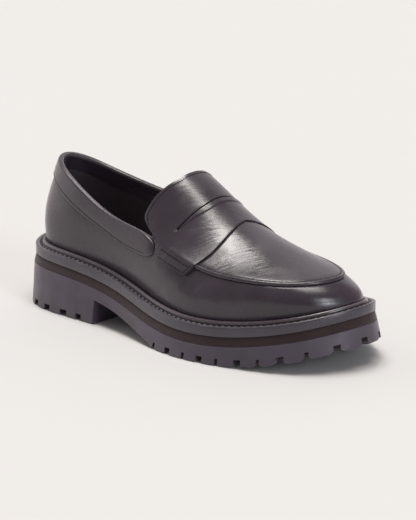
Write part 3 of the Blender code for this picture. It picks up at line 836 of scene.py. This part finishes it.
def slot_rings():
    """Small sewn ring at each end of the saddle's slot."""
    bm = bmesh.new()
    for inner in (False, True):
        v = np.array([SLOT_END_V - STEP])
        place, normal = on_upper(u_at_x(saddle_line(v, inner, "slot"), v, inner), v, RING["out"])
        old = set(bm.verts)
        made = bmesh.ops.create_circle(bm, segments=8, radius=RING["tube"] * MM)["verts"]
        bmesh.ops.rotate(bm, verts=made, cent=(0, 0, 0), matrix=Matrix.Rotation(math.pi / 2, 3, "X"))
        bmesh.ops.translate(bm, verts=made, vec=(RING["radius"] * MM, 0, 0))
        edges = list({e for v in made for e in v.link_edges})
        bmesh.ops.spin(bm, geom=made + edges, cent=(0, 0, 0), axis=(0, 0, 1), angle=2 * math.pi, steps=16,
                       use_merge=True)
        whole = [vert for vert in bm.verts if vert not in old]
        turn = Vector(normal[0]).to_track_quat("Z", "Y").to_matrix()
        bmesh.ops.rotate(bm, verts=whole, cent=(0, 0, 0), matrix=turn)
        bmesh.ops.translate(bm, verts=whole, vec=to_row(place[0]))
    bmesh.ops.recalc_face_normals(bm, faces=bm.faces)
    return bm


def on_upper(u, v, out):
    """Points and normals at a height over the upper's surface."""
    u, v = np.broadcast_arrays(np.asarray(u, float), np.asarray(v, float))
    normal = np.where((v > 1)[..., None], facing(u, v, CROWN_V, 2.0), facing(u, v))
    return last(u, v) + normal * np.asarray(out, float)[..., None], normal


def welt_row(bm, hole_shade):
    plan = edge(np.linspace(0, ROUND, 1200), WELT_STITCH["inset"])
    path = level(plan, height(DECK, plan[:, 0]) + WELT_STITCH["height"])
    sew(bm, hole_shade, path, np.tile([0.0, 0.0, 1.0], (len(path), 1)), WELT_SEWING)


def collar_row(bm, hole_shade):
    for side, turn in COLLAR_TURN.items():
        end = COLLAR_END[side] - COLLAR_STITCH["inset"]
        u = collar_stations(side, end, 300, 40)
        low, corner, _ = band_edge(u, turn, end)
        u = u if side == "outer" else ROUND - u
        share = COLLAR_STITCH["share"]
        v = low + (collar_top(u) - low) * share
        out = np.interp(share, COLLAR_FACE["share"][1:], COLLAR_FACE["out"][1:]) - STITCH_REST
        out = out * np.sqrt(1 - COLLAR_STITCH["fall"] * corner ** COLLAR_FADE)
        sew(bm, hole_shade, *on_upper(u, v, out), COLLAR_SEWING)


def apron_row(bm, hole_shade):
    for inner in (False, True):
        u = np.linspace(float(apron_start(np.array([APRON_STITCH["v"]]), inner)[0]), TIP, 240)
        v = 1 + APRON_STITCH["in"] / crown_length(u)
        out = np.interp(APRON_STITCH["in"], APRON_EDGE["in"], APRON_EDGE["up"]) - STITCH_REST
        sew(bm, hole_shade, *on_upper(u, v, out), APRON_SEWING)


def saddle_row(bm, hole_shade):
    foot = SADDLE["v"][-1]
    for inner in (False, True):
        lines = []
        v = np.linspace(TONGUE_STITCH["v"], 2.0, 160)
        lines.append((saddle_line(v, inner, "back") + TONGUE_STITCH["in"], v))
        for seam in SADDLE_SEAMS:
            v = np.full(60, foot + seam.up / V_PACE)
            back, front = (saddle_line(v[0], inner, name) for name in ("back", "front"))
            lines.append((np.linspace(back + seam.back, front - seam.front, 60), v))
        low = SADDLE_SEAMS[0]
        v = np.linspace(foot + low.up / V_PACE, SADDLE_SEAM_TOP, 30)
        lines.append((saddle_line(v, inner, "front") - low.front, v))
        for x, v in lines:
            sew(bm, hole_shade, *on_upper(u_along(x, v, inner), v, SADDLE_REST + SADDLE_THICKNESS), TONGUE_SEWING)


def make_material(name):
    """New material, its node tree and the object's own coordinates."""
    material = bpy.data.materials.new(name)
    material.use_nodes = True
    tree = material.node_tree
    return material, tree, add_node(tree, "ShaderNodeTexCoord", {})["Object"]


def set_inputs(tree, node, inputs):
    """Gives each named input a value, or a link from another node's output."""
    for name, value in inputs.items():
        if isinstance(value, bpy.types.NodeSocket):
            tree.links.new(value, node.inputs[name])
        else:
            node.inputs[name].default_value = value


def add_node(tree, kind, inputs, **settings):
    """New node with its settings and inputs; gives its outputs."""
    node = tree.nodes.new(kind)
    for name, value in settings.items():
        setattr(node, name, value)
    set_inputs(tree, node, inputs)
    return node.outputs


def noise(tree, coord, scale, detail, stretch=None):
    """Noise, drawn out along the strokes of the leather where it has a stretch."""
    if stretch:
        turn = (0, 0, math.radians(STROKE_TURN))
        inputs = {"Vector": coord, "Rotation": turn, "Scale": (1.0, stretch, stretch)}
        coord = add_node(tree, "ShaderNodeMapping", inputs, vector_type="TEXTURE")["Vector"]
    inputs = {"Vector": coord, "Scale": scale, "Detail": detail, "Roughness": 0.5}
    return add_node(tree, "ShaderNodeTexNoise", inputs)["Fac"]


def spread(tree, source, low, high):
    """Maps the middle of a noise's range to another range."""
    inputs = {"Value": source, "From Min": 0.35, "From Max": 0.65, "To Min": low, "To Max": high}
    return add_node(tree, "ShaderNodeMapRange", inputs)["Result"]


def clouded(tree, source, colour, swing):
    """The colour, made darker and lighter by a noise. swing is the pair of shares."""
    dark, light = ((*(c * share for c in colour), 1) for share in swing)
    inputs = {"Factor": spread(tree, source, 0, 1), "A": dark, "B": light}
    return add_node(tree, "ShaderNodeMix", inputs, data_type="RGBA")["Result"]


def bump(tree, source, strength, depth, below=None):
    inputs = {"Strength": strength, "Distance": depth * MM, "Height": source}
    if below is not None:
        inputs["Normal"] = below
    return add_node(tree, "ShaderNodeBump", inputs)["Normal"]


def leather(name, colour, roughness, strokes=0.0):
    """Smooth finished leather: fine pores, faint creases and an uneven polish."""
    material, tree, coord = make_material(name)
    pores = add_node(tree, "ShaderNodeTexVoronoi", {"Vector": coord, "Scale": 1500.0})["Distance"]
    relief = bump(tree, pores, 0.35, 0.03)
    relief = bump(tree, noise(tree, coord, 300.0, 3.0), 0.35, 0.10, relief)
    relief = bump(tree, noise(tree, coord, 60.0, 2.0), 0.25, 0.5, relief)
    if strokes:
        for stroke in STROKES:
            drawn = noise(tree, coord, stroke.scale, 2.0, stroke.stretch)
            relief = bump(tree, drawn, strokes, stroke.depth, relief)
    set_inputs(tree, tree.nodes["Principled BSDF"], {
        "Base Color": clouded(tree, noise(tree, coord, 35.0, 3.0), colour, (0.82, 1.22)),
        "Roughness": spread(tree, noise(tree, coord, 90.0, 4.0), roughness - 0.04, roughness + 0.06),
        "Specular IOR Level": 0.60,
        "Sheen Weight": 0.19,
        "Sheen Roughness": 0.45,
        "Sheen Tint": (1.0, 0.78, 0.95, 1),
        "Normal": relief,
    })
    return material


def rubber(name, colour, roughness, texture=0.4, shine=0.4):
    """Moulded rubber with a fine matte skin."""
    material, tree, coord = make_material(name)
    set_inputs(tree, tree.nodes["Principled BSDF"], {
        "Base Color": clouded(tree, noise(tree, coord, 50.0, 4.0), colour, (0.85, 1.15)),
        "Roughness": spread(tree, noise(tree, coord, 120.0, 3.0), roughness - 0.05, roughness + 0.07),
        "Specular IOR Level": shine,
        "Sheen Weight": 0.25,
        "Sheen Roughness": 0.5,
        "Sheen Tint": (1.0, 0.85, 0.95, 1),
        "Normal": bump(tree, noise(tree, coord, 2200.0, 2.0), texture, 0.05),
    })
    return material


def cloth(name, colour, roughness):
    """Dull thread."""
    material, tree, coord = make_material(name)
    fibre = noise(tree, coord, 1800.0, 3.0)
    set_inputs(tree, tree.nodes["Principled BSDF"], {
        "Base Color": clouded(tree, fibre, colour, (0.75, 1.25)),
        "Roughness": roughness,
        "Specular IOR Level": 0.25,
        "Normal": bump(tree, fibre, 0.5, 0.08),
    })
    return material


def swatch(name, what, default):
    """Property that holds the colour of one finish."""
    return bpy.props.FloatVectorProperty(
        name=name, description="Colour of " + what, subtype="COLOR", size=3, min=0, max=1, default=default)


def angle(name, description, degrees):
    return bpy.props.FloatProperty(
        name=name, description=description, subtype="ANGLE", default=math.radians(degrees))


class LoaferFinish(bpy.types.PropertyGroup):
    """Colours of the loafer's materials."""

    leather: swatch("Leather", "the upper's leather", (0.0235, 0.0162, 0.0238))
    polish: bpy.props.FloatProperty(
        name="Leather Roughness", description="Roughness of the upper's leather", subtype="FACTOR",
        min=0, max=1, default=0.255)
    # Near-black painted shade along the seams, in the welt's stitch channel, on the strap's cut edge and in
    # the needle holes
    edge: swatch("Edge Paint", "the painted shade at seams, edges and needle holes", (0.006, 0.005, 0.006))
    lining: swatch("Lining", "the lining and footbed", (0.050, 0.038, 0.046))
    rubber: swatch("Rubber", "the outsole's rubber", (0.051, 0.040, 0.059))
    welt: swatch("Welt", "the welt", (0.028, 0.022, 0.034))
    # The bead's own leather, made lighter as painted highlight along it
    bead: swatch("Bead", "the bead beside the upper", (0.066, 0.049, 0.060))
    # Also the colour of the painted shade high in the tread's notches and grooves
    band: swatch("Band", "the recessed band", (0.022, 0.012, 0.012))
    thread: swatch("Thread", "the thread in the upper", (0.005, 0.004, 0.005))
    ring: swatch("Ring", "the rings at the slot's ends", (0.11, 0.095, 0.095))
    welt_thread: swatch("Welt Thread", "the welt's stitches", (0.13, 0.112, 0.116))


class LoaferStudio(bpy.types.PropertyGroup):
    """Camera, floor and light."""

    azimuth: angle("Azimuth", "Camera's turn about the shoe", 43.303)
    elevation: angle("Elevation", "Camera's height angle", 15.652)
    roll: angle("Roll", "Camera's roll", -0.849)
    lens: bpy.props.FloatProperty(
        name="Lens", description="Focal length", unit="CAMERA", default=144.9)
    fill: bpy.props.FloatProperty(
        name="Fill", description="Strength of the even light from all sides", min=0, default=0.31)
    floor: swatch("Floor", "the floor", (0.576, 0.570, 0.572))


def get_material(name):
    """The named material, made when first asked for."""
    made = bpy.data.materials.get(name)
    if made:
        return made
    finish = bpy.context.scene.loafer_finish
    makers = {
        "smooth_leather": (leather, finish.leather, finish.polish, {}),
        "vamp_leather": (leather, finish.leather, finish.polish, {"strokes": 0.36}),
        "lining": (leather, finish.lining, 0.55, {}),
        # The bead's leather, lighter than its own colour as painted highlight
        "bead_leather": (leather, finish.bead, 0.22, {}),
        # Painted shade for the seams, the welt's stitch channel and the strap's cut edge
        "edge_paint": (rubber, finish.edge, 0.5, {"texture": 0.1}),
        "lug_rubber": (rubber, finish.rubber, 0.48, {"shine": 0.45}),
        # Painted shade high in the tread's notches and grooves, in the band's colour
        "notch_rubber": (rubber, finish.band, 0.75, {}),
        "rim_rubber": (rubber, finish.welt, 0.31, {"texture": 0.08, "shine": 0.65}),
        "band_rubber": (rubber, finish.band, 0.70, {"shine": 0.2}),
        # Painted shade in the needle holes
        "needle_hole": (cloth, finish.edge, 0.9, {}),
        "thread": (cloth, finish.thread, 0.6, {}),
        "ring_thread": (cloth, finish.ring, 0.6, {}),
        "welt_thread": (cloth, finish.welt_thread, 0.7, {}),
    }
    make, colour, roughness, extra = makers[name]
    return make(name, colour, roughness, **extra)


class LOAFER_OT_sole(bpy.types.Operator):
    """Build the outsole, the recessed band, the welt and the footbed"""

    bl_idname = "loafer.sole"
    bl_label = "Sole"

    def execute(self, context):
        stations = sole_stations(SOLE_COUNT)
        # The outsole's second material is painted shade high in the notches and grooves
        outsole = finish_piece(plate(stations, outsole_profile), "outsole_detailed",
                               ("lug_rubber", "notch_rubber"), ["outsole"])
        carve(outsole, tread_cutters())
        outsole.data.set_sharp_from_angle(angle=math.radians(35))
        low = -WELT_HEIGHT - BAND_HEIGHT + VISIBLE_GAP / 2
        drops = np.linspace(low, -WELT_HEIGHT - VISIBLE_GAP / 2, len(BAND_SIDE))
        band = plate(stations, deck_profile(BAND_SIDE, drops))
        finish_piece(band, "midsole_band", ("band_rubber",), ["midsole"])
        rim = plate(stations, deck_profile(RIM["inset"], RIM["height"]), painted=WELT_CHANNEL_SHADE_AND_BEAD)
        # The stitch channel takes painted shade, the bead a leather made lighter as painted highlight
        painted = ("rim_rubber", "edge_paint", "bead_leather")
        finish_piece(rim, "welt_rim", painted, ["welt"])
        board = plate(stations, deck_profile(INSOLE["inset"], INSOLE["height"]))
        finish_piece(board, "footbed", ("lining",), ["insole"])
        return {"FINISHED"}


class LOAFER_OT_upper(bpy.types.Operator):
    """Build the upper's shell, the apron, the collar band and the saddle with its tongue"""

    bl_idname = "loafer.upper"
    bl_label = "Upper"

    def execute(self, context):
        lined = ("smooth_leather", "lining")
        # Second material of the collar, apron and strap: painted shade along their seams and the strap's cut
        # edge
        plain = ("smooth_leather", "edge_paint")
        polished = ("vamp_leather", "edge_paint")
        upper = finish_piece(upper_mesh(), "upper_shell", lined, ["upper"])
        thicken(upper, -WALL).material_offset = 1
        apron = finish_piece(apron_mesh(), "apron_plug", polished, ["apron"])
        thicken(apron, -APRON_SKIN)
        finish_piece(collar_mesh(), "collar_band", plain, ["collar"])
        saddle = finish_piece(saddle_mesh(), "saddle_strap", polished, ["saddle"])
        # The strap's cut edge all round takes the second material, painted shade
        thicken(saddle, SADDLE_THICKNESS).material_offset_rim = 1
        soften(saddle, SADDLE_EDGE)
        return {"FINISHED"}


class LOAFER_OT_stitching(bpy.types.Operator):
    """Sew the welt, the collar, the apron and the saddle"""

    bl_idname = "loafer.stitching"
    bl_label = "Stitching"

    def execute(self, context):
        hole_shade = bmesh.new()
        for name, sew_row, thread, slot in (("welt_stitches", welt_row, "welt_thread", "welt_rubber"),
                                            ("collar_stitches", collar_row, "thread", "collar_leather"),
                                            ("apron_stitches", apron_row, "thread", "apron_leather"),
                                            ("saddle_stitches", saddle_row, "thread", "saddle_leather")):
            bm = bmesh.new()
            sew_row(bm, hole_shade)
            finish_piece(bm, name, (thread,))
        finish_piece(slot_rings(), "slot_rings", ("ring_thread",))
        # Needle holes: flat dark patches of painted shade under the stitches' ends
        finish_piece(hole_shade, "needle_holes", ("needle_hole",))
        return {"FINISHED"}


def direction(azimuth, elevation):
    """From the shoe outwards, in radians: azimuth 0 is the outer side, and it grows towards the toe."""
    flat = math.cos(elevation)
    return Vector((math.sin(azimuth) * flat, -math.cos(azimuth) * flat, math.sin(elevation)))


def set_floor(colour):
    bm = bmesh.new()
    bmesh.ops.create_grid(bm, x_segments=4, y_segments=4, size=FLOOR_SIZE)
    floor = add_object("floor", to_mesh(bm, "floor"))
    material = bpy.data.materials.new("floor")
    material.use_nodes = True
    tree = material.node_tree
    set_inputs(tree, tree.nodes["Principled BSDF"], {
        "Base Color": (*colour, 1),
        "Roughness": 0.9,
        "Specular IOR Level": 0.1,
    })
    floor.data.materials.append(material)


def set_lights(fill):
    world = bpy.data.worlds.new("studio")
    world.use_nodes = True
    set_inputs(world.node_tree, world.node_tree.nodes["Background"], {"Color": FILL_COLOUR, "Strength": fill})
    bpy.context.scene.world = world
    for light in SOFT_LIGHTS:
        lamp = bpy.data.lights.new(light.name, "SUN")
        lamp.angle = math.radians(light.width)
        lamp.energy = light.strength
        lamp.color = light.colour
        obj = add_object(light.name, lamp)
        obj.location = direction(math.radians(light.azimuth), math.radians(light.elevation))
        obj.rotation_euler = obj.location.to_track_quat("Z", "Y").to_euler()


def set_camera(studio):
    back = direction(studio.azimuth, studio.elevation)
    right = Vector((0, 0, 1)).cross(back).normalized()
    up = back.cross(right)
    c, s = math.cos(studio.roll), math.sin(studio.roll)
    matrix = Matrix((right * c + up * s, up * c - right * s, back)).transposed().to_4x4()
    matrix.translation = Vector(to_row(CAMERA_TARGET)) + back * CAMERA_DISTANCE * MM
    camera = bpy.data.cameras.new("camera")
    camera.sensor_fit = "AUTO"
    camera.sensor_width = SENSOR
    camera.lens = studio.lens
    camera.clip_start = CLIP_START
    eye = add_object("camera", camera)
    eye.matrix_world = matrix
    bpy.context.scene.camera = eye


class LOAFER_OT_studio(bpy.types.Operator):
    """Set the floor, the soft light and the camera"""

    bl_idname = "loafer.studio"
    bl_label = "Studio"

    def execute(self, context):
        studio = context.scene.loafer_studio
        context.scene.view_settings.view_transform = "Standard"
        set_floor(studio.floor)
        set_lights(studio.fill)
        set_camera(studio)
        return {"FINISHED"}


OPERATORS = (LOAFER_OT_sole, LOAFER_OT_upper, LOAFER_OT_stitching, LOAFER_OT_studio)


class LOAFER_PT_panel(bpy.types.Panel):
    """The loafer's pieces and finishes"""

    bl_idname = "LOAFER_PT_panel"
    bl_label = "Loafer"
    bl_space_type = "VIEW_3D"
    bl_region_type = "UI"
    bl_category = "Loafer"

    def draw(self, context):
        for operator in OPERATORS:
            self.layout.operator(operator.bl_idname)
        for group in (context.scene.loafer_finish, context.scene.loafer_studio):
            for name in group.__annotations__:
                self.layout.prop(group, name)


CLASSES = (LoaferFinish, LoaferStudio, *OPERATORS, LOAFER_PT_panel)


def register():
    for cls in CLASSES:
        bpy.utils.register_class(cls)
    bpy.types.Scene.loafer_finish = bpy.props.PointerProperty(type=LoaferFinish)
    bpy.types.Scene.loafer_studio = bpy.props.PointerProperty(type=LoaferStudio)


def unregister():
    del bpy.types.Scene.loafer_studio
    del bpy.types.Scene.loafer_finish
    for cls in reversed(CLASSES):
        bpy.utils.unregister_class(cls)


def main():
    register()
    bpy.ops.loafer.sole()
    bpy.ops.loafer.upper()
    bpy.ops.loafer.stitching()
    bpy.ops.loafer.studio()


if __name__ == "__main__":
    main()
